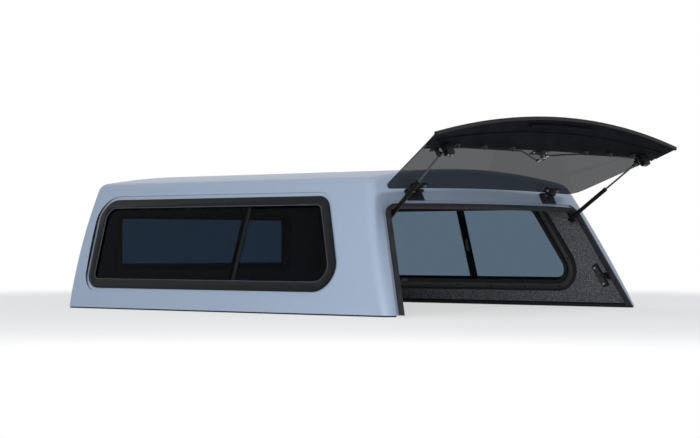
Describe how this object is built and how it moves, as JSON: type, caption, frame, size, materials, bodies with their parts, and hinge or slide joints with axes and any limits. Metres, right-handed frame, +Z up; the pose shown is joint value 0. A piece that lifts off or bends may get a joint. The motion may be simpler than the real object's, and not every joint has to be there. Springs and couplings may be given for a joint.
{
  "type": "pickup truck canopy",
  "caption": "Moulded canopy for a pickup bed with side windows, carpet lining and a top-hinged curved glass rear door held open by gas struts and closed by a handle with side latches.",
  "frame": {"origin": "middle of the underside of the front base seal", "axes": "+X to the vehicle's right, +Y forwards to the cab, +Z up; the rear door stands open"},
  "size_m": [1.692, 2.0567, 0.7853],
  "materials": {
    "shell": "metallic silver-blue paint over fibreglass",
    "carpet": "speckled needle-felt carpet",
    "seal": "matt foam and rubber",
    "frame": "satin black coated aluminium",
    "trim": "matt black",
    "side_glass": "dark tinted safety glass",
    "door_glass": "dark tinted curved safety glass",
    "skirt": "gloss black moulding",
    "hinge": "satin black",
    "strut": "satin black",
    "strut_rod": "dark nitrided rod",
    "bracket": "satin black",
    "latch": "bright zinc plated steel",
    "handle": "satin black",
    "lock": "polished"
  },
  "bodies": {
    "canopy": {"shell": "shell", "side_lining_left": "carpet", "side_lining_right": "carpet", "roof_lining": "carpet", "front_lining": "carpet", "base_seal_left": "seal", "base_seal_right": "seal", "base_seal_front": "seal", "opening_seal": "seal", "window_frame_left": "frame", "window_frame_right": "frame", "window_divider_left": "frame", "window_divider_right": "frame", "front_window_frame": "frame", "trim_ring_left": "trim", "trim_ring_right": "trim", "front_trim_ring": "trim", "fixed_pane_left": "side_glass", "fixed_pane_right": "side_glass", "sliding_pane_left": "side_glass", "sliding_pane_right": "side_glass", "front_window_glass": "side_glass", "hinge_body_leaf_left": "hinge", "hinge_body_leaf_right": "hinge", "strut_base_bracket_left": "bracket", "strut_base_bracket_right": "bracket", "striker_left": "latch", "striker_right": "latch"},
    "rear_door": {"door_glass": "door_glass", "door_skirt": "skirt", "hinge_door_leaf_left": "hinge", "hinge_door_leaf_right": "hinge", "strut_top_bracket_left": "bracket", "strut_top_bracket_right": "bracket", "latch_base_plate": "latch", "side_latch_left": "latch", "side_latch_right": "latch"},
    "strut_tube_left": {"strut_tube_left": "strut"},
    "strut_tube_right": {"strut_tube_right": "strut"},
    "strut_rod_left": {"strut_rod_left": "strut_rod"},
    "strut_rod_right": {"strut_rod_right": "strut_rod"},
    "handle": {"door_handle": "handle", "latch_cam": "latch", "lock_cylinder": "lock"},
    "latch_rod_left": {"latch_rod_left": "latch"},
    "latch_rod_right": {"latch_rod_right": "latch"}
  },
  "joints": [
    {"name": "door_hinge", "type": "hinge", "parent": "canopy", "child": "rear_door", "pos_m": [0, -1.60627, 0.49171], "axis": [1, 0, 0], "range_deg": [0, 91]},
    {"name": "strut_pivot_left", "type": "hinge", "parent": "canopy", "child": "strut_tube_left", "pos_m": [-0.605, -1.61037, 0.38516], "axis": [1, 0, 0], "range_deg": [0, 97.4]},
    {"name": "strut_pivot_right", "type": "hinge", "parent": "canopy", "child": "strut_tube_right", "pos_m": [0.605, -1.61037, 0.38516], "axis": [1, 0, 0], "range_deg": [0, 97.4]},
    {"name": "strut_slide_left", "type": "slide", "parent": "strut_tube_left", "child": "strut_rod_left", "axis": [-0.1553, -0.7776, 0.6093], "range_m": [-0.1506, 0]},
    {"name": "strut_slide_right", "type": "slide", "parent": "strut_tube_right", "child": "strut_rod_right", "axis": [0.1553, -0.7776, 0.6093], "range_m": [-0.1506, 0]},
    {"name": "handle_turn", "type": "hinge", "parent": "rear_door", "child": "handle", "pos_m": [0, -1.89738, 0.63621], "axis": [0, 0.4446, 0.8957], "range_deg": [-30, 0], "stiffness_Nm_per_rad": 0.5},
    {"name": "latch_slide_left", "type": "slide", "parent": "rear_door", "child": "latch_rod_left", "axis": [1, 0, 0], "range_m": [0, 0.0115]},
    {"name": "latch_slide_right", "type": "slide", "parent": "rear_door", "child": "latch_rod_right", "axis": [-1, 0, 0], "range_m": [0, 0.0115]}
  ],
  "couplings": [
    {"joint": "strut_pivot_left", "follows": "door_hinge", "ratio": 1.0688},
    {"joint": "strut_slide_left", "follows": "door_hinge", "m_per_rad": -0.094689},
    {"joint": "strut_pivot_right", "follows": "door_hinge", "ratio": 1.0688},
    {"joint": "strut_slide_right", "follows": "door_hinge", "m_per_rad": -0.094689},
    {"joint": "latch_slide_left", "follows": "handle_turn", "m_per_rad": -0.02175},
    {"joint": "latch_slide_right", "follows": "handle_turn", "m_per_rad": -0.02175}
  ]
}
